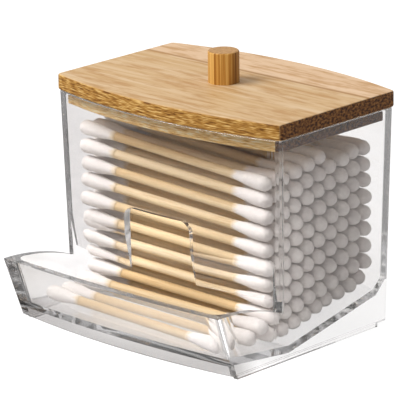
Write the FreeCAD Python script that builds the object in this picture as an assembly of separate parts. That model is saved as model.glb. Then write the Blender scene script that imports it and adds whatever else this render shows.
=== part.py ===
import FreeCAD, Part
import math
import os
import random

V = FreeCAD.Vector

# ---------------------------------------------------------------- driving dimensions, mm
# Bamboo lid
lid_width = 89.0            # along X, between the two straight sides
lid_side_length = 49.2      # length of each straight side
lid_bow = 6.3               # how far the front and back edges bulge past the side's ends
lid_thickness = 4.9
lid_corner_radius = 1.6
lid_edge_radius = 0.7
insert_thickness = 4.0      # second plate, under the lid, that drops inside the walls
insert_clearance = 0.6      # between the insert's edge and the walls
insert_edge_radius = 0.5
knob_diameter = 9.2
knob_height = 9.5
knob_edge_radius = 0.5
tenon_diameter = 5.0        # turned peg under the knob, glued into the lid
tenon_length = 3.4
tenon_clearance = 0.05
glue_gap = 0.02             # between pieces that are glued face to face

# Clear moulded box
rim_height = 66.2           # top of the walls above the table
lid_overhang = 0.3          # how far the lid's edge stands out past the walls
wall = 2.4
draft = 0.023               # every wall leans in by this much per mm down from the rim
corner_radius = 2.0
inner_corner_radius = 1.0
rim_edge_radius = 0.5
foot_height = 1.3
foot_width = 1.6
foot_inset = 0.4            # from the skirt's outer face
foot_back_gap = 3.5         # from the skirt's back end to the foot
foot_front_gap = 1.6        # from the skirt's front end to the foot

# Floor: two planes that meet in a valley under the front wall
floor_thickness = 2.3
valley_depth = 18.9         # the valley's distance in front of the box's middle
valley_height = 4.15        # its top surface above the table
floor_angle = 11.7          # degrees, rising from the valley to the back
tray_floor_angle = 6.2      # degrees, rising from the valley to the tray's front
chamfer_top = 15.5          # where the back wall turns in to meet the floor, at 45 degrees

# Front wall: it ends above the tray in a bevelled edge, with a finger notch
window_height = 18.1        # the front wall's lower edge
bevel_height = 28.9         # where the bevel on its outer face starts
lip_thickness = 0.4         # what the bevel leaves of the wall at its lower edge
notch_width = 26.2
notch_height = 37.4         # top of the notch
notch_corner_radius = 3.5

# Tray in front of the box
tray_reach = 25.3           # from the rim's straight front corner to the lip's corner, in plan
tray_slant = 6.9            # how far the front wall leans out over its height
lip_height = 20.05          # the highest line of the tray's rim
lip_bow = 1.8
tray_foot_bow = 3.7
rim_arc_radius = 70.0       # the side cheeks' top edges, seen from the side
rim_arc_setback = 0.8       # from the lip's corner back to the arc's highest point
tray_corner_radius = 4.0    # inside, between the tray's front and its cheeks

# Cotton swabs
swab_length = 75.0
stick_diameter = 2.7
tip_diameter = 4.8
tip_length = 14.5
tip_cover = 1.8             # cotton past the stick's end
tip_edge = 0.2              # thickness of the cotton where it runs out on the stick
# the tip's outline: distance from its blunt end, and the radius there as a share of the largest
tip_outline = [(0.35, 0.52), (1.2, 0.84), (2.8, 0.985), (4.2, 1.0), (7.0, 0.95), (11.0, 0.74)]
stick_clearance = 0.05
swab_stagger = 0.5          # most that a swab is shifted endways
swab_gap_least = 0.1        # between one tip and what it lies against
swab_gap_most = 0.26
left_end_lift = 0.7         # most that a swab's left tip lies higher still, so that the pile tilts
tray_swabs = 4              # swabs at the front that are pieces of their own
front_swab_turn = 3.2       # degrees that the foremost one lies askew
second_swab_depth = 29.7    # the next one's distance in front of the box's middle
pile_layers = 12            # groups that the pile's swabs are kept in, from the bottom up
pile_headroom = 0.9         # between the pile and the insert
repose_slope = 0.7          # how steeply the swabs in the tray pile up to the front wall
swab_columns = 9            # swabs in a full row between the front and the back wall
swab_wander = 0.35          # most that a swab lies beside its column
back_column_gap = 0.9       # between the rearmost column and the back wall
packing_step = 0.05         # by which a swab is shifted until it fits
packing_seed = 15

# ---------------------------------------------------------------- worked out from them
side_half_length = lid_side_length / 2
lid_half_width = lid_width / 2
arc_radius = (lid_half_width ** 2 + lid_bow ** 2) / (2 * lid_bow)
crown = side_half_length + lid_bow
arc_axis = arc_radius - crown          # the front arc's axis is at +Y, the back arc's at -Y
lip_y = side_half_length - lid_overhang + tray_reach
front_reach = lip_y + lip_bow
middle_y = (front_reach - crown) / 2   # the box's middle, with the origin under the whole
columns_tried = 2 * swab_columns       # places tried in a row, enough to reach the tray's front
far = 200.0


def inset_at(z, base=0.0):
    """How far a wall face stands inside the lid's outline at height z."""
    return lid_overhang + base + draft * (rim_height - z)


def wedge(base, y0, y1, z0, z1):
    """Block between the two leaning side planes; base is the depth under the outer face."""
    low = lid_half_width - inset_at(z0, base)
    high = lid_half_width - inset_at(z1, base)
    points = [V(-low, y0, z0), V(low, y0, z0), V(high, y0, z1), V(-high, y0, z1)]
    face = Part.Face(Part.makePolygon(points + points[:1]))
    return face.extrude(V(0, y1 - y0, 0))


def bow_cone(z0, inset0, z1, inset1, side):
    """Upright cone that holds all that lies inside a bowed wall; side is -1 for the front."""
    base = V(0, -side * arc_axis, z0)
    return Part.makeCone(arc_radius - inset0, arc_radius - inset1, z1 - z0, base, V(0, 0, 1))


def bowed_block(base, z0, z1):
    """The box's own shape between two heights, base inside its outer face."""
    block = wedge(base, -far / 2, far / 2, z0, z1)
    for side in (-1, 1):
        block = block.common(bow_cone(z0, inset_at(z0, base), z1, inset_at(z1, base), side))
    return block


def upright_edges(shape, z0, z1):
    """Edges that run from height z0 to height z1."""
    found = []
    for edge in shape.Edges:
        heights = sorted(vertex.Z for vertex in edge.Vertexes)
        if len(heights) == 2 and abs(heights[0] - z0) < 0.01 and abs(heights[1] - z1) < 0.01:
            found.append(edge)
    return found


def edges_at(shape, z):
    """Edges that lie flat at height z."""
    return [e for e in shape.Edges if abs(e.BoundBox.ZMin - z) < 0.001 and abs(e.BoundBox.ZMax - z) < 0.001]


def side_profile(points, half_width):
    """Outline in Y and Z, drawn out along X to both sides."""
    corners = [V(-half_width, y, z) for y, z in points]
    face = Part.Face(Part.makePolygon(corners + corners[:1]))
    return face.extrude(V(2 * half_width, 0, 0))


def plate(inset, z0, z1, radius):
    """Flat plate with the lid's outline."""
    half = lid_half_width - inset
    block = Part.makeBox(2 * half, far, z1 - z0, V(-half, -far / 2, z0))
    for side in (-1, 1):
        cylinder = Part.makeCylinder(arc_radius - inset, z1 - z0, V(0, -side * arc_axis, z0))
        block = block.common(cylinder)
    return block.makeFillet(radius, upright_edges(block, z0, z1))


# ---------------------------------------------------------------- lid
def lid_pieces():
    z0 = rim_height
    z1 = z0 + lid_thickness
    top = plate(0, z0, z1, lid_corner_radius)
    top = top.makeFillet(lid_edge_radius, edges_at(top, z0) + edges_at(top, z1))
    hole_radius = tenon_diameter / 2 + tenon_clearance
    hole_floor = z1 - tenon_length - tenon_clearance
    top = top.cut(Part.makeCylinder(hole_radius, far, V(0, 0, hole_floor)))

    insert_inset = inset_at(z0, wall) + insert_clearance + draft * insert_thickness
    insert_top = z0 - glue_gap
    insert_base = insert_top - insert_thickness
    insert = plate(insert_inset, insert_base, insert_top, inner_corner_radius)
    insert = insert.makeFillet(insert_edge_radius, edges_at(insert, insert_base))

    knob_base = z1 + glue_gap
    knob = Part.makeCylinder(knob_diameter / 2, knob_height, V(0, 0, knob_base))
    knob = knob.makeFillet(knob_edge_radius, edges_at(knob, knob_base + knob_height))
    tenon = Part.makeCylinder(tenon_diameter / 2, tenon_length, V(0, 0, knob_base - tenon_length))
    return {"lid_plate": top, "lid_insert": insert, "lid_knob": knob.fuse(tenon).removeSplitter()}


# ---------------------------------------------------------------- box
def floor_line(drop):
    """The floor in Y and Z from front to back, drop under its top surface."""
    back_slope = math.tan(math.radians(floor_angle))
    front_slope = math.tan(math.radians(tray_floor_angle))
    low = valley_height - drop
    return [(-far / 2, low + front_slope * (far / 2 - valley_depth)),
            (-valley_depth, low),
            (far / 2, low + back_slope * (far / 2 + valley_depth))]


def tray_front(back_off, z0, z1):
    """All that lies behind the tray's leaning front face, back_off behind that face."""
    lean = tray_slant / (lip_height - foot_height)
    half = lid_half_width + 10.0

    def outline(z):
        share = (z - foot_height) / (lip_height - foot_height)
        bow = tray_foot_bow + (lip_bow - tray_foot_bow) * share
        radius = (lid_half_width ** 2 + bow ** 2) / (2 * bow)
        tip = lip_y - lean * (lip_height - z) + bow - back_off
        sag = radius - math.sqrt(radius ** 2 - half ** 2)
        left = V(-half, sag - tip, z)
        right = V(half, sag - tip, z)
        arc = Part.Arc(left, V(0, -tip, z), right).toShape()
        lines = Part.makePolygon([right, V(half, 0, z), V(-half, 0, z), left])
        return Part.Wire([arc] + lines.Edges)

    return Part.makeLoft([outline(z0), outline(z1)], True, True)


def tray_outside():
    """The tray and its skirt as a solid block, before it is hollowed."""
    arc_y = rim_arc_setback - lip_y
    under_rim = Part.makeCylinder(rim_arc_radius, far, V(-far / 2, arc_y, lip_height - rim_arc_radius),
                                  V(1, 0, 0))
    block = wedge(0, -far / 2, 0, foot_height, lip_height + 1)
    block = block.common(tray_front(0, foot_height - 0.5, lip_height + 1))
    return block.common(under_rim)


def tray_inside():
    """Room in the tray, under and in front of the front wall's bevelled edge."""
    front_thickness = wall * math.hypot(1, tray_slant / (lip_height - foot_height))
    back = side_half_length - inset_at(window_height, wall)
    room = wedge(wall, -far / 2, -back, 0, bevel_height)
    room = room.common(tray_front(front_thickness, 0, bevel_height))
    corners = [e for e in upright_edges(room, 0, bevel_height) if e.BoundBox.YMax < -back - 1]
    room = room.makeFillet(tray_corner_radius, corners)
    keep = bow_cone(window_height, inset_at(window_height, wall - lip_thickness),
                    bevel_height, inset_at(bevel_height), -1)
    return room.cut(keep)


def foot(side):
    """Rib along the bottom of one side skirt."""
    outer = lid_half_width - inset_at(foot_height) - foot_inset
    y0 = foot_front_gap + tray_slant - lip_y
    y1 = side_half_length - inset_at(foot_height) - foot_back_gap
    x0 = outer - foot_width if side > 0 else -outer
    return Part.makeBox(foot_width, y1 - y0, foot_height + wall / 2, V(x0, y0, 0))


def box_body():
    """One clear moulding: walls, floor, tray, skirts and feet."""
    tower = bowed_block(0, foot_height, rim_height)
    tower = tower.makeFillet(corner_radius, upright_edges(tower, foot_height, rim_height))
    tower = tower.makeFillet(rim_edge_radius, edges_at(tower, rim_height))
    body = tower.fuse(tray_outside())

    over_floor = side_profile(floor_line(0) + [(far / 2, far), (-far / 2, far)], far / 2)
    under_floor = side_profile(floor_line(floor_thickness) + [(far / 2, -far), (-far / 2, -far)], far / 2)

    cavity = bowed_block(wall, 0, rim_height + 1)
    cavity = cavity.makeFillet(inner_corner_radius, upright_edges(cavity, 0, rim_height + 1))
    # 45 degrees: the inset grows by as much as the height falls; the cone runs on past the wall
    chamfer_inset = inset_at(chamfer_top, wall)
    past = chamfer_top + wall
    chamfer = bow_cone(0, chamfer_inset + chamfer_top, past, chamfer_inset - wall, 1)
    low_back = Part.makeBox(far, far, past, V(-far / 2, 0, 0))
    cavity = cavity.cut(low_back.cut(chamfer))
    body = body.cut(cavity.common(over_floor))
    body = body.cut(tray_inside().common(over_floor))

    # Underneath, the moulding is open at the bottom and at the back
    inner_wedge = wedge(wall, -far / 2, far / 2, 0, chamfer_top)
    front_thickness = wall * math.hypot(1, tray_slant / (lip_height - foot_height))
    hollow = inner_wedge.common(under_floor)
    behind_skirt = tray_front(front_thickness, 0, chamfer_top)
    back_half = Part.makeBox(far, far, far, V(-far / 2, -1, -far / 2))
    body = body.cut(hollow.common(behind_skirt.fuse(back_half)))
    slanted_wall = wall * math.sqrt(2)
    chamfer_outside = bow_cone(0, chamfer_inset + chamfer_top - slanted_wall,
                               chamfer_top, chamfer_inset - slanted_wall, 1)
    rear = wedge(wall, 0, far / 2, 0, chamfer_top)
    body = body.cut(rear.cut(chamfer_outside))

    notch_x = notch_width / 2
    notch_z = notch_height - window_height + 1
    notch_y = crown + wall
    notch = Part.makeBox(notch_width, notch_y, notch_z, V(-notch_x, -notch_y, window_height - 1))
    tops = [e for e in notch.Edges if abs(e.BoundBox.ZMin - notch_height) < 0.01 and e.BoundBox.YLength > 1]
    tops = [e for e in tops if abs(e.BoundBox.XLength) < 0.01]
    body = body.cut(notch.makeFillet(notch_corner_radius, tops))

    for side in (-1, 1):
        body = body.fuse(foot(side))
    return body.removeSplitter()


# ---------------------------------------------------------------- swabs
def section_walls():
    """What the swabs' ends lie against, as lines in Y and Z with the swabs on their left."""
    bow_left = crown - side_half_length - arc_radius
    bow_at_ends = bow_left + math.sqrt(arc_radius ** 2 - (swab_length / 2) ** 2)

    def inside(z):
        return side_half_length + bow_at_ends - inset_at(z, wall)

    back_slope = math.tan(math.radians(floor_angle))
    front_slope = math.tan(math.radians(tray_floor_angle))
    lean = tray_slant / (lip_height - foot_height)
    front_thickness = wall * math.hypot(1, lean)
    # where the 45 degree chamfer meets the floor
    chamfer_y = inside(chamfer_top)
    run = (chamfer_top - valley_height - back_slope * (chamfer_y + valley_depth)) / (1 - back_slope)
    toe = (chamfer_y - run, chamfer_top - run)
    tray_toe_y = -lip_y + lean * (lip_height - valley_height) + front_thickness
    tray_rise = front_slope * (-tray_toe_y - valley_depth)
    tray_toe = (tray_toe_y - lean * tray_rise, valley_height + tray_rise)
    return {
        "tray_front": ((front_thickness - lip_y, lip_height), tray_toe),
        "tray_floor": (tray_toe, (-valley_depth, valley_height)),
        "floor": ((-valley_depth, valley_height), toe),
        "chamfer": (toe, (chamfer_y, chamfer_top)),
        "back": ((chamfer_y, chamfer_top), (inside(rim_height), rim_height)),
        "front": ((-inside(rim_height), rim_height), (-inside(window_height), window_height)),
    }


def to_line(point, line):
    """Distance from a point to a line's stretch, and that to its whole length with sign."""
    (ay, az), (by, bz) = line
    dy = by - ay
    dz = bz - az
    length = math.hypot(dy, dz)
    along = ((point[0] - ay) * dy + (point[1] - az) * dz) / length
    across = (dy * (point[1] - az) - dz * (point[0] - ay)) / length
    held = min(max(along, 0), length)
    return math.hypot(across, along - held), across


def over_line(y, line, reach):
    """Height at which a disc's centre at y touches the line from above."""
    (ay, az), (by, bz) = line
    slope = (bz - az) / (by - ay)
    return az + slope * (y - ay) + reach * math.hypot(1, slope)


def front_swabs(walls):
    """The two foremost swabs in the tray, each by its left and its right end in Y and Z."""
    reach = (tip_diameter + swab_gap_most) / 2
    right_y = walls["tray_floor"][0][0]
    while to_line((right_y, over_line(right_y, walls["tray_floor"], reach)), walls["tray_front"])[1] < reach:
        right_y += packing_step
    left_y = right_y + swab_length * math.sin(math.radians(front_swab_turn))
    depths = [(left_y, right_y), (-second_swab_depth, -second_swab_depth)]
    return [tuple((y, over_line(y, walls["tray_floor"], reach)) for y in ends) for ends in depths]


def pack_swabs():
    """Lay the swabs in rows from the floor up, each row from the back wall to the front.

    Each swab is placed by its left and its right end.  An end rests on the floor or on those
    under it, straight above them, so that the rows keep the floor's slope and form columns.
    Low rows run on under the front wall's edge into the tray.
    """
    dice = random.Random(packing_seed)
    walls = section_walls()
    ceiling = rim_height - glue_gap - insert_thickness - pile_headroom - tip_diameter / 2
    edge = walls["front"][1]
    front = front_swabs(walls)
    most = tip_diameter / 2 + swab_gap_most
    back_column = walls["back"][1][0] - most - back_column_gap
    front_column = edge[0] + most
    shifts = [packing_step * n for n in range(int(tip_diameter / 2 / packing_step))]
    held = []
    for end in (0, 1):
        held.append([(*ends[end], (tip_diameter + swab_gap_most) / 2) for ends in front])
    laid = [list(held[0]), list(held[1])]

    def resting_height(y, reach, below):
        heights = [over_line(y, walls[name], reach) for name in ("floor", "tray_floor")]
        for other_y, other_z, other_reach in below:
            both = reach + other_reach
            if abs(y - other_y) < both:
                heights.append(other_z + math.sqrt(both ** 2 - (y - other_y) ** 2))
        return max(heights)

    def fits(y, z, reach):
        if z > ceiling or to_line((y, z), walls["front"])[0] < reach:
            return False
        if y < edge[0] and z > edge[1] + repose_slope * (y - edge[0]) - reach:
            return False
        return all(to_line((y, z), walls[name])[1] >= reach for name in ("chamfer", "back", "tray_front"))

    def clears(y, z, reach, others):
        return all(math.hypot(y - oy, z - oz) >= reach + r for oy, oz, r in others)

    def settle(y, reach, lift, below, beside):
        """The nearest place in front of y, or else behind it, where an end of this row fits."""
        for shift in [-s for s in shifts] + shifts:
            z = resting_height(y + shift, reach, below) + lift
            if fits(y + shift, z, reach) and clears(y + shift, z, reach, beside):
                return y + shift, z, reach
        return None

    while True:
        under = [list(laid[0]), list(laid[1])]
        row = [[], []]
        start = back_column
        pitch = (back_column - front_column) / (swab_columns - 1)
        for column in range(columns_tried):
            reach = (tip_diameter + dice.uniform(swab_gap_least, swab_gap_most)) / 2
            spots = []
            for end, most_lift in enumerate((left_end_lift, 0)):
                y = start - column * pitch + dice.uniform(-swab_wander, swab_wander)
                lift = dice.uniform(0, most_lift)
                spots.append(settle(y, reach, lift, under[end], row[end] + held[end]))
            if None in spots:
                continue
            if not row[0]:
                start = (spots[0][0] + spots[1][0]) / 2 + column * pitch
                pitch = (start - front_column) / (swab_columns - 1)
            for end in (0, 1):
                row[end].append(spots[end])
        if not row[0]:
            break
        for end in (0, 1):
            laid[end] += row[end]
    loose = sorted((left[:2], right[:2]) for left, right in zip(*laid))
    return front + [swab for swab in loose if swab not in front], dice


def tip_shape(side):
    """Cotton on one end of a swab that lies along X about the origin; side is -1 or 1."""
    end = swab_length / 2
    radius = tip_diameter / 2
    bore = stick_diameter / 2 + stick_clearance
    thin = bore + tip_edge
    # outline from the blunt end back to where the cotton runs out on the stick
    stations = [(end, 0)] + [(end - distance, share * radius) for distance, share in tip_outline]
    stations.append((end - tip_length, thin))
    curve = Part.BSplineCurve()
    curve.interpolate([V(x, 0, r) for x, r in stations])
    x_mouth = end - tip_length
    x_stick = end - tip_cover
    rest = Part.makePolygon([V(x_mouth, 0, thin), V(x_mouth, 0, bore), V(x_stick, 0, bore),
                             V(x_stick, 0, 0), V(end, 0, 0)])
    profile = Part.Face(Part.Wire([curve.toShape()] + rest.Edges))
    tip = profile.revolve(V(0, 0, 0), V(1, 0, 0), 360)
    return tip if side > 0 else tip.rotated(V(0, 0, 0), V(0, 0, 1), 180)


def swab_pieces():
    """Sticks and tips, by layer in the pile and one by one in the tray."""
    laid, dice = pack_swabs()
    stick_reach = swab_length / 2 - tip_cover - stick_clearance
    stick = Part.makeCylinder(stick_diameter / 2, 2 * stick_reach, V(-stick_reach, 0, 0), V(1, 0, 0))
    tips = [tip_shape(-1), tip_shape(1)]
    groups = {}
    for number, swab in enumerate(laid[:tray_swabs]):
        groups["tray_swab_%d" % (number + 1)] = [swab]
    in_pile = sorted(laid[tray_swabs:], key=lambda swab: swab[0][1] + swab[1][1])
    for number, swab in enumerate(in_pile):
        layer = number * pile_layers // len(in_pile) + 1
        groups.setdefault("pile_layer_%02d" % layer, []).append(swab)
    pieces = {}
    for name, swabs in groups.items():
        sticks = []
        cotton = []
        for left, right in swabs:
            span = swab_length - tip_diameter
            along = V(span, right[0] - left[0], right[1] - left[1])
            middle = V(dice.uniform(-swab_stagger, swab_stagger),
                       (left[0] + right[0]) / 2, (left[1] + right[1]) / 2)
            place = FreeCAD.Placement(middle, FreeCAD.Rotation(V(1, 0, 0), along))
            sticks.append(stick.transformed(place.toMatrix()))
            cotton += [tip.transformed(place.toMatrix()) for tip in tips]
        pieces[name + "_sticks"] = Part.makeCompound(sticks)
        pieces[name + "_cotton"] = Part.makeCompound(cotton)
    return pieces


# ---------------------------------------------------------------- build
pieces = {"box": box_body()}
pieces.update(lid_pieces())
pieces.update(swab_pieces())

os.makedirs("parts", exist_ok=True)
for name, shape in pieces.items():
    shape.translated(V(0, middle_y, 0)).exportStep("parts/%s.step" % name)
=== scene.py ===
"""Cotton swab box: clear moulded plastic, bamboo lid with a knob, wooden swabs.  Metres."""
import bpy
import math
import numpy as np
from mathutils import Matrix, Vector, noise

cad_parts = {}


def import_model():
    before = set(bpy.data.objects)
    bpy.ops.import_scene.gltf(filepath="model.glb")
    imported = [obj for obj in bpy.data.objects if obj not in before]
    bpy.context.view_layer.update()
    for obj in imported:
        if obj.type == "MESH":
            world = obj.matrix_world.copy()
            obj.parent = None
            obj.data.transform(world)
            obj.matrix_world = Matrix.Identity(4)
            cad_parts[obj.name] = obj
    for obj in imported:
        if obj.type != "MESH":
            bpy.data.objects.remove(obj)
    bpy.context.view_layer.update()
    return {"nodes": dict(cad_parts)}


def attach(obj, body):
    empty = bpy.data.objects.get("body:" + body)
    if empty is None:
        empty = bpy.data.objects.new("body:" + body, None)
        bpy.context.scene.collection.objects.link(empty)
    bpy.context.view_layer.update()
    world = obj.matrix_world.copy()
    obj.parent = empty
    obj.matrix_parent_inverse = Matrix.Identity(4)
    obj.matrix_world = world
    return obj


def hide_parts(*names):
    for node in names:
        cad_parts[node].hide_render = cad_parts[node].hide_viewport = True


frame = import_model()
nodes = frame["nodes"]
scene = bpy.context.scene

MM = 0.001
MIDDLE_Y = 10.25 * MM           # how far the middle of the lid and the walls lies behind the origin
CORNER_REACH = 24.3 * MM        # from there to the walls' corners, along Y

# Cotton tips: they stay a little within the CAD model's
TIP_RADIUS = 2.34 * MM
TIP_LENGTH = 14.5 * MM
TIP_COVER = 1.8 * MM            # cotton past the stick's end
NOSE_LENGTH = 2.6 * MM          # how far the round nose reaches
SHOULDER = 4.4 * MM             # from the nose to where the bulb begins to slim
THIN_FROM = 0.70                # share of the length from which the stick starts to show through
NECK_SHARE = 0.605              # radius where the cotton runs out, as a share of TIP_RADIUS
RINGS = 26                      # rings of points along a tip
AROUND = 28                     # points in each ring
LUMP_DEPTH = 0.07               # how deep the hollows between lumps are, as a share of the radius
WINDING_DEPTH = 0.022           # the same for the spiral that winding the cotton leaves
WINDING_PITCH = 2.4 * MM
FLUFF_DEPTH = 0.03              # the same for the loose fibres

# Stage and camera
FLOOR_HALF = 3.0
FLOOR_GAP = 0.1 * MM            # the floor lies this far under the feet
CAMERA_ANGLES = (43.566, 16.796, -0.887)        # azimuth, elevation and roll, degrees
CAMERA_TARGET = (0.005732, -0.006653, 0.04)
CAMERA_DISTANCE = 0.97673
CAMERA_LENS = 303.3             # mm, for a sensor 36 mm wide
LONG_PATH = 64                  # bounces: cut short, the clear plastic's edges turn black


# ---------------------------------------------------------------- material helpers
class Nodes:
    """Short way to write the nodes of a material or of the world."""

    def __init__(self, owner, output="ShaderNodeOutputMaterial"):
        self.owner = owner
        owner.use_nodes = True
        self.tree = owner.node_tree
        self.tree.nodes.clear()
        self.out = self.tree.nodes.new(output)
        self.place = self.tree.nodes.new("ShaderNodeTexCoord")
        self.space = self.place.outputs["Object"]

    def add(self, kind, **inputs):
        """Node with its inputs set or linked; a name's underscores stand for spaces."""
        node = self.tree.nodes.new(kind)
        for key, value in inputs.items():
            self.set(node, key.replace("_", " "), value)
        return node

    def set(self, node, key, value):
        socket = node.inputs[key]
        if isinstance(value, bpy.types.NodeSocket):
            self.tree.links.new(value, socket)
        else:
            socket.default_value = value

    def scaled(self, scale, offset=(0, 0, 0)):
        """Object coordinates stretched by scale."""
        return self.add("ShaderNodeMapping", Vector=self.space, Scale=scale, Location=offset).outputs[0]

    def noise(self, vector, scale=1.0, detail=3.0, roughness=0.55, distortion=0.0):
        node = self.add("ShaderNodeTexNoise", Vector=vector, Scale=scale, Detail=detail,
                        Roughness=roughness, Distortion=distortion)
        return node.outputs["Fac"]

    def ramp(self, value, *stops):
        """Colour ramp; each stop is (place, colour or grey)."""
        node = self.add("ShaderNodeValToRGB", Fac=value)
        elements = node.color_ramp.elements
        while len(elements) < len(stops):
            elements.new(0.5)
        for element, (place, colour) in zip(elements, stops):
            element.position = place
            grey = isinstance(colour, (int, float))
            element.color = (colour,) * 3 + (1,) if grey else tuple(colour) + (1,)
        return node.outputs["Color"]

    def mix(self, factor, a, b, blend="MIX"):
        node = self.tree.nodes.new("ShaderNodeMix")
        node.data_type = "RGBA"
        node.blend_type = blend
        for index, value in ((0, factor), (6, a), (7, b)):
            socket = node.inputs[index]
            if isinstance(value, bpy.types.NodeSocket):
                self.tree.links.new(value, socket)
            elif index == 0:
                socket.default_value = value
            else:
                socket.default_value = tuple(value) + (1,)
        return node.outputs[2]

    def math(self, operation, a, b=0.0, c=0.0):
        node = self.tree.nodes.new("ShaderNodeMath")
        node.operation = operation
        for index, value in enumerate((a, b, c)):
            if isinstance(value, bpy.types.NodeSocket):
                self.tree.links.new(value, node.inputs[index])
            else:
                node.inputs[index].default_value = value
        return node.outputs[0]

    def facing(self, axis):
        """1 on faces that look along the object's own axis, X, Y or Z, to either side; else 0."""
        apart = self.add("ShaderNodeSeparateXYZ", Vector=self.place.outputs["Normal"])
        return self.ramp(self.math("ABSOLUTE", apart.outputs[axis]), (0.55, 0.0), (0.8, 1.0))

    def bump(self, height, strength, distance):
        return self.add("ShaderNodeBump", Height=height, Strength=strength, Distance=distance).outputs[0]

    def either(self, factor, a, b):
        """Shader a where factor is 0, shader b where it is 1."""
        mixed = self.tree.nodes.new("ShaderNodeMixShader")
        self.tree.links.new(factor, mixed.inputs[0])
        self.tree.links.new(a.outputs[0], mixed.inputs[1])
        self.tree.links.new(b.outputs[0], mixed.inputs[2])
        return mixed

    def along(self, vector, axis):
        """One coordinate of a vector."""
        parts = self.add("ShaderNodeSeparateXYZ", Vector=vector)
        return parts.outputs[axis]

    def finish(self, shader):
        self.tree.links.new(shader.outputs[0], self.out.inputs["Surface"])
        return self.owner


def new_material(name):
    return Nodes(bpy.data.materials.new(name))


def srgb(r, g, b):
    """Linear colour for a colour as it looks, 0 to 255."""
    values = (c / 255 for c in (r, g, b))
    return tuple(c / 12.92 if c < 0.04045 else ((c + 0.055) / 1.055) ** 2.4 for c in values)


def seen_directly(m):
    """Three sockets, each 0 or 1: that a ray comes from the camera, straight or by way of mirrors and
    glass, and isn't light on the object; that something reflected it on its way; and more than once."""
    path = m.add("ShaderNodeLightPath").outputs
    seen = m.math("MAXIMUM", path["Is Camera Ray"], path["Is Glossy Ray"])
    seen = m.math("MAXIMUM", seen, path["Is Transmission Ray"])
    seen = m.math("MULTIPLY", seen, m.math("LESS_THAN", path["Diffuse Depth"], 0.5))
    depth = path["Glossy Depth"]
    return seen, m.math("GREATER_THAN", depth, 0.5), m.math("GREATER_THAN", depth, 1.5)


# ---------------------------------------------------------------- materials
def clear_plastic():
    """Injection-moulded clear styrene: true refraction, flow ripple, fine scuffs, a trace of haze."""
    m = new_material("clear_plastic")
    # places in tenths of a metre: beside the middle, ahead of the origin, and up
    place = m.scaled((10, -10, 10))
    across, ahead, up = (m.along(place, axis) for axis in range(3))
    side = m.ramp(m.math("ABSOLUTE", across), (0.39, 0.0), (0.41, 1.0))
    # fine upright flow lines where the walls turn at the four corners
    past = m.math("ABSOLUTE", m.math("SUBTRACT", m.along(m.space, 1), MIDDLE_Y))
    off = m.math("ABSOLUTE", m.math("MULTIPLY_ADD", past, 100.0, -100.0 * CORNER_REACH))
    corner = m.math("MULTIPLY", side, m.ramp(off, (0.2, 1.0), (0.4, 0.0)))
    lines = m.math("MULTIPLY", m.noise(m.scaled((1300, 1300, 12)), detail=1.0), corner)
    ripple = m.math("MULTIPLY_ADD", lines, 3.0, m.noise(m.scaled((60, 60, 25)), detail=1.0))
    scuffs = m.noise(m.scaled((900, 900, 300)), detail=4.0, roughness=0.7)
    # painted shade: the front and left walls are tinted a little grey, the tray's thick front more so, its
    # skirt the most; this grey stands for dark reflections in the plastic, not for its own colour
    clear = (0.985, 0.978, 0.976)
    walls = m.mix(m.math("LESS_THAN", across, 0.0), clear, (0.91, 0.893, 0.893))
    tint_with_painted_shade = m.mix(side, m.ramp(ahead, (0.03, clear), (0.08, (0.93, 0.92, 0.917))), walls)
    tint_with_painted_shade = m.mix(m.ramp(ahead, (0.22, 0.0), (0.3, 1.0)), tint_with_painted_shade, (0.88, 0.865, 0.856))
    # the skirt's mask, where the painted shade is darkest
    painted_skirt_shade = m.ramp(m.math("MULTIPLY", up, 10.0), (0.55, 1.0), (0.75, 0.0))
    painted_skirt_shade = m.math("MULTIPLY", painted_skirt_shade, m.ramp(ahead, (0.22, 0.0), (0.34, 1.0)))
    tint_with_painted_shade = m.mix(painted_skirt_shade, tint_with_painted_shade, (0.52, 0.502, 0.496))
    glass = m.add("ShaderNodeBsdfPrincipled", Base_Color=tint_with_painted_shade, IOR=1.52, Transmission_Weight=0.99,
                  Normal=m.bump(ripple, 0.06, 0.0006), Roughness=m.math("MULTIPLY", scuffs, 0.03))
    light = m.add("ShaderNodeBsdfTransparent", Color=(0.995, 0.995, 0.995, 1))
    path = m.add("ShaderNodeLightPath")
    return m.finish(m.either(path.outputs["Is Shadow Ray"], glass, light))


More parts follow.
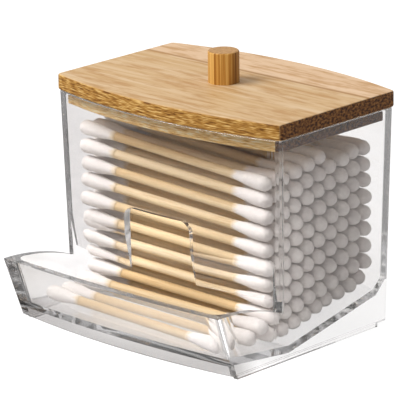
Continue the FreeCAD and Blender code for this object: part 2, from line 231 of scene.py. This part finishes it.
def bamboo(name, edge_colours):
    """Laminated bamboo plate, its strips and grain along X; edge_colours run from dark to light."""
    m = new_material(name)
    fibre = m.noise(m.scaled((70, 440, 440)), detail=3.0, roughness=0.66)
    streak = m.noise(m.scaled((9, 300, 300)), detail=3.0, roughness=0.65)
    top = m.ramp(streak, (0.36, srgb(196, 160, 111)), (0.5, srgb(205, 172, 128)), (0.64, srgb(213, 184, 145)))
    # the rearmost strip is paler, with a thin dark glue line in front of it, 23 mm behind the origin
    back = m.along(m.scaled((0, 10, 0), offset=(0, 0.27, 0)), 1)
    seam = m.ramp(back, (0.495, 0.0), (0.5, 0.9), (0.508, 0.6), (0.515, 0.0))
    top = m.mix(seam, top, srgb(158, 112, 62))
    top = m.mix(m.ramp(back, (0.508, 0.0), (0.515, 0.55)), top, srgb(228, 194, 162))
    top = m.mix(m.ramp(fibre, (0.46, 0.0), (0.64, 0.7)), top, srgb(176, 130, 74))
    # the long edges show the strips' dense fibre bundles as short dashes
    dashes = m.noise(m.scaled((300, 500, 3000)), detail=2.0, roughness=0.5)
    edge = m.ramp(dashes, *zip((0.34, 0.43, 0.55, 0.66), edge_colours))
    # the short edges show them end on, as dark dots; their dark colour is partly the end grain and partly
    # painted shade, for the shade that falls on the right end
    dots = m.noise(m.scaled((900, 1000, 1500)), detail=2.0, roughness=0.5)
    ends = m.ramp(dots, (0.38, srgb(50, 24, 6)), (0.52, srgb(102, 63, 26)), (0.68, srgb(134, 92, 46)))
    colour = m.mix(m.facing(1), top, edge)
    colour = m.mix(m.facing(0), colour, ends)
    shader = m.add("ShaderNodeBsdfPrincipled", Base_Color=colour, Specular_IOR_Level=0.22,
                   Normal=m.bump(fibre, 0.25, 0.0002), Roughness=m.math("MULTIPLY_ADD", fibre, 0.25, 0.38))
    return m.finish(shader)


def knob_bamboo():
    """Turned bamboo with its grain upright, so that dark and light fibres run down the side."""
    m = new_material("knob_bamboo")
    stripes = m.noise(m.scaled((1150, 1150, 14)), detail=3.0, roughness=0.6)
    seams = m.noise(m.scaled((620, 620, 10), offset=(3, 5, 0)), detail=2.0)
    side = m.ramp(stripes, (0.36, srgb(154, 98, 30)), (0.48, srgb(196, 140, 62)), (0.6, srgb(222, 174, 96)))
    side = m.mix(m.ramp(seams, (0.56, 0.0), (0.62, 0.85)), side, srgb(118, 70, 20))
    top = m.ramp(stripes, (0.35, srgb(166, 122, 70)), (0.6, srgb(190, 147, 96)))
    # painted shade: the strip at its right and back is darker, for the shade that falls on that side of the
    # knob
    strip = m.math("ADD", m.along(m.space, 0), m.math("SUBTRACT", m.along(m.space, 1), MIDDLE_Y))
    side = m.mix(m.ramp(m.math("MULTIPLY", strip, 100.0), (0.2, 0.0), (0.42, 0.6)), side, srgb(100, 58, 14))
    colour = m.mix(m.facing(2), side, top)
    shader = m.add("ShaderNodeBsdfPrincipled", Base_Color=colour, Specular_IOR_Level=0.22,
                   Normal=m.bump(seams, 0.5, 0.0003), Roughness=m.math("MULTIPLY_ADD", stripes, 0.2, 0.38))
    return m.finish(shader)


def stick_wood():
    """Plain birch sticks, grain along X, no two quite the same colour."""
    m = new_material("stick_wood")
    fibre = m.noise(m.scaled((70, 2600, 2600)), detail=4.0, roughness=0.65)
    each = m.noise(m.scaled((2, 190, 190)), detail=0.0)
    colour = m.ramp(each, (0.3, srgb(216, 185, 139)), (0.5, srgb(229, 204, 164)), (0.7, srgb(235, 214, 181)))
    colour = m.mix(m.ramp(fibre, (0.52, 0.0), (0.75, 0.6)), colour, srgb(184, 136, 78))
    shader = m.add("ShaderNodeBsdfPrincipled", Base_Color=colour, Specular_IOR_Level=0.15,
                   Normal=m.bump(fibre, 0.3, 0.0001), Roughness=m.math("MULTIPLY_ADD", fibre, 0.2, 0.5))
    return m.finish(shader)


def cotton():
    """Wound cotton wool that thins out to bare wood along the attribute "thin"."""
    m = new_material("cotton")
    fluff = m.noise(m.scaled((900, 1500, 1500)), detail=6.0, roughness=0.7, distortion=0.6)
    wisps = m.noise(m.scaled((120, 1100, 1100)), detail=4.0, roughness=0.7)
    each = m.noise(m.scaled((0, 240, 240)), detail=0.0)
    colour = m.ramp(fluff, (0.3, srgb(238, 232, 228)), (0.65, srgb(254, 249, 245)))
    colour = m.mix(m.ramp(each, (0.35, 0.0), (0.65, 0.5)), colour, srgb(229, 221, 219))
    thin = m.add("ShaderNodeAttribute")
    thin.attribute_name = "thin"
    bare = m.math("MULTIPLY_ADD", thin.outputs["Fac"], 1.25, m.math("MULTIPLY_ADD", wisps, 1.6, -1.25))
    colour = m.mix(m.ramp(bare, (0.15, 0.0), (0.75, 0.85)), colour, srgb(230, 204, 160))
    shader = m.add("ShaderNodeBsdfPrincipled", Base_Color=colour, Specular_IOR_Level=0.1,
                   Normal=m.bump(fluff, 0.45, 0.0002), Roughness=m.math("MULTIPLY_ADD", fluff, 0.1, 0.85))
    return m.finish(shader)


def dress(obj, material, smooth=True):
    obj.data.materials.clear()
    obj.data.materials.append(material)
    if smooth:
        obj.data.shade_smooth()


# ---------------------------------------------------------------- cotton tips
def long_islands(mesh):
    """Places of the points of each stick's round face; the flat ends are islands of their own."""
    count = len(mesh.vertices)
    places = np.empty(count * 3)
    mesh.vertices.foreach_get("co", places)
    places = places.reshape(count, 3)
    edges = np.empty(len(mesh.edges) * 2, int)
    mesh.edges.foreach_get("vertices", edges)
    a, b = edges.reshape(-1, 2).T
    label = np.arange(count)
    while True:
        lowest = label.copy()
        np.minimum.at(lowest, a, label[b])
        np.minimum.at(lowest, b, label[a])
        lowest = lowest[lowest]
        if (lowest == label).all():
            break
        label = lowest
    found = [places[label == value] for value in np.unique(label)]
    return [island for island in found if np.ptp(island[:, 0]) > TIP_LENGTH]


def tip_radius(along):
    """Radius of the cotton at a distance from its nose: a round nose, then a slack S to the neck."""
    if along < NOSE_LENGTH:
        return TIP_RADIUS * math.sqrt(1 - (1 - along / NOSE_LENGTH) ** 2)
    share = max(0.0, (along - SHOULDER) / (TIP_LENGTH - SHOULDER))
    return TIP_RADIUS * (1 - (1 - NECK_SHARE) * share * share * (3 - 2 * share))


def tip_mesh(nose, inward, seed):
    """Points and faces of one cotton tip; inward is the unit direction from the nose to the stick."""
    side = inward.orthogonal().normalized()
    other = inward.cross(side)
    shift = Vector((seed * 7.3, seed * 3.1, seed * 1.7))
    turn = seed * 2.4
    points = [nose + inward * 0.03 * MM]
    thin = [0.0]
    for ring in range(1, RINGS + 1):
        along = TIP_LENGTH * (ring / RINGS) ** 1.5
        radius = tip_radius(along)
        # the neck's wisps hug the stick, so they keep their radius
        loose = min(1.0, 1.6 * (1 - ring / RINGS))
        for step in range(AROUND):
            angle = math.tau * step / AROUND
            out = side * math.cos(angle) + other * math.sin(angle)
            spot = (out * radius + inward * along) / MM
            lump = abs(noise.noise(spot * 0.42 + shift)) * 1.6
            fluff = abs(noise.noise(Vector((spot.x * 0.9, spot.y * 2.4, spot.z * 2.4)) + shift * 2))
            wound = 0.5 + 0.5 * math.sin(angle + turn - math.tau * along / WINDING_PITCH)
            dent = LUMP_DEPTH * min(lump, 1) + WINDING_DEPTH * wound + FLUFF_DEPTH * fluff
            points.append(nose + inward * along + out * radius * (1 - dent * loose))
            thin.append(max(0.0, (along / TIP_LENGTH - THIN_FROM) / (1 - THIN_FROM)))
    faces = [(0, 1 + step, 1 + (step + 1) % AROUND) for step in range(AROUND)]
    for ring in range(RINGS - 1):
        first = 1 + ring * AROUND
        for step in range(AROUND):
            after = (step + 1) % AROUND
            faces.append((first + step, first + AROUND + step, first + AROUND + after, first + after))
    last = 1 + (RINGS - 1) * AROUND
    faces.append(tuple(last + step for step in reversed(range(AROUND))))
    return points, faces, thin


def cotton_piece(stick_node, cotton_node, first_seed, material):
    """Fluffy tips on both ends of every stick of one node."""
    points = []
    faces = []
    thin = []
    seed = first_seed
    for stick in long_islands(nodes[stick_node].data):
        middle = Vector(stick.mean(axis=0))
        ends = [Vector(stick[(stick[:, 0] - middle.x) * sign > 0].mean(axis=0)) for sign in (-1, 1)]
        axis = (ends[1] - ends[0]).normalized()
        reach = max(abs((Vector(p) - middle).dot(axis)) for p in stick)
        for sign in (-1, 1):
            nose = middle + axis * sign * (reach + TIP_COVER)
            tip_points, tip_faces, tip_thin = tip_mesh(nose, axis * -sign, seed)
            faces += [tuple(index + len(points) for index in face) for face in tip_faces]
            points += tip_points
            thin += tip_thin
            seed += 1
    name = cotton_node.replace("_cotton", "_wool")
    mesh = bpy.data.meshes.new(name)
    mesh.from_pydata(points, [], faces)
    mesh.update()
    mesh.attributes.new("thin", "FLOAT", "POINT").data.foreach_set("value", thin)
    obj = bpy.data.objects.new(name, mesh)
    scene.collection.objects.link(obj)
    dress(obj, material)
    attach(obj, "box")
    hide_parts(cotton_node)
    return seed


# ---------------------------------------------------------------- stage, lights, camera
def stage():
    """White floor that keeps a soft shadow; grey where something mirrors it."""
    m = new_material("floor")
    seen, mirrored, often = seen_directly(m)
    plain = m.add("ShaderNodeBsdfDiffuse", Color=(0.9, 0.9, 0.9, 1))
    faint = m.add("ShaderNodeBsdfDiffuse", Color=(0.2, 0.2, 0.2, 1))
    white = m.add("ShaderNodeEmission", Color=(1, 1, 1, 1), Strength=0.93)
    lit = m.add("ShaderNodeAddShader")
    m.tree.links.new(faint.outputs[0], lit.inputs[0])
    m.tree.links.new(white.outputs[0], lit.inputs[1])
    # as a mirror image it is darkest to the front left; what is mirrored twice is an even grey
    x, y = (m.along(m.space, axis) for axis in range(2))
    leftward = m.math("MULTIPLY_ADD", x, -2.0, m.math("MULTIPLY", y, -2.0))
    dim = m.ramp(leftward, (0.1, 0.52), (0.2, 0.08), (0.55, 0.08), (0.75, 0.6))
    dim = m.mix(often, dim, (0.35, 0.35, 0.35))
    # a bright strip right before the tray puts a sheen on its front
    strip = m.ramp(m.math("MULTIPLY", y, -10.0), (0.36, 0.0), (0.41, 1.0), (0.6, 1.0), (0.7, 0.0))
    beside = m.math("ABSOLUTE", m.math("MULTIPLY", x, 10.0))
    strip = m.math("MULTIPLY", strip, m.ramp(beside, (0.5, 1.0), (0.8, 0.0)))
    dull = m.add("ShaderNodeEmission", Color=dim, Strength=m.math("MULTIPLY_ADD", strip, 3.0, 1.0))
    mesh = bpy.data.meshes.new("floor")
    corners = [(-1, -1), (1, -1), (1, 1), (-1, 1)]
    mesh.from_pydata([(x * FLOOR_HALF, y * FLOOR_HALF, 0) for x, y in corners], [], [(0, 1, 2, 3)])
    mesh.materials.append(m.finish(m.either(seen, plain, m.either(mirrored, lit, dull))))
    obj = bpy.data.objects.new("floor", mesh)
    scene.collection.objects.link(obj)
    obj.location.z = -FLOOR_GAP


def world():
    """Soft plain light; white where it is seen; an uneven grey room in the plastic's reflections."""
    scene.world = bpy.data.worlds.new("world")
    scene.world.cycles.sampling_method = "NONE"
    m = Nodes(scene.world, "ShaderNodeOutputWorld")
    soft = m.add("ShaderNodeBackground", Color=(1.0, 0.975, 0.955, 1), Strength=0.62)
    white = m.add("ShaderNodeBackground", Color=(1, 1, 1, 1), Strength=1.06)
    patches = m.noise(m.place.outputs["Generated"], scale=1.6, detail=1.0, roughness=0.5)
    grey = m.ramp(patches, (0.38, (0.5, 0.5, 0.51)), (0.6, (0.92, 0.91, 0.9)))
    room = m.add("ShaderNodeBackground", Color=grey)
    seen, mirrored = seen_directly(m)[:2]
    m.finish(m.either(seen, soft, m.either(mirrored, white, room)))


def lamp(name, place, aim, size, power):
    data = bpy.data.lights.new(name, "AREA")
    data.shape = "RECTANGLE"
    data.size, data.size_y = size
    data.energy = power
    obj = bpy.data.objects.new(name, data)
    scene.collection.objects.link(obj)
    obj.location = place
    obj.rotation_euler = (Vector(aim) - Vector(place)).to_track_quat("-Z", "Y").to_euler()
    obj.visible_transmission = False    # shadow rays already bring its light through the plastic
    return obj


def camera():
    azimuth, elevation, roll = (math.radians(angle) for angle in CAMERA_ANGLES)
    right = Vector((math.cos(azimuth), math.sin(azimuth), 0))
    back = Vector((math.sin(azimuth) * math.cos(elevation), -math.cos(azimuth) * math.cos(elevation),
                   math.sin(elevation)))
    up = back.cross(right)
    data = bpy.data.cameras.new("camera")
    data.lens = CAMERA_LENS
    data.sensor_width = 36.0
    data.clip_start = 0.01
    obj = bpy.data.objects.new("camera", data)
    scene.collection.objects.link(obj)
    turn = Matrix((right, up, back)).transposed() @ Matrix.Rotation(roll, 3, "Z")
    place = Vector(CAMERA_TARGET) + back * CAMERA_DISTANCE
    obj.matrix_world = Matrix.Translation(place) @ turn.to_4x4()
    scene.camera = obj


# ---------------------------------------------------------------- put together
hard = {
    "box": clear_plastic(),
    "lid_plate": bamboo("bamboo", (srgb(104, 62, 12), srgb(148, 101, 36), srgb(175, 129, 60),
                                   srgb(210, 173, 107))),
    # painted light: the insert's edges are the same bamboo made lighter, to make up for the shadow that the
    # lid's overhang casts on them
    "lid_insert": bamboo("insert_bamboo_painted_light", (srgb(200, 146, 76), srgb(240, 194, 120),
                                           srgb(252, 216, 150), srgb(255, 240, 198))),
    "lid_knob": knob_bamboo(),
}
stick = stick_wood()
wool = cotton()
seed = 1
for name in sorted(nodes):
    if name in hard:
        dress(nodes[name], hard[name], smooth=False)
    elif name.endswith("_sticks"):
        dress(nodes[name], stick)
    else:
        seed = cotton_piece(name.replace("_cotton", "_sticks"), name, seed, wool)

stage()
world()
lamp("key", place=(-0.44, -0.62, 0.95), aim=(0, 0, 0.03), size=(0.62, 0.62), power=11.0)
camera()
scene.cycles.max_bounces = LONG_PATH
scene.cycles.transmission_bounces = LONG_PATH
scene.cycles.glossy_bounces = LONG_PATH
scene.cycles.transparent_max_bounces = LONG_PATH // 2
scene.view_settings.view_transform = "Standard"
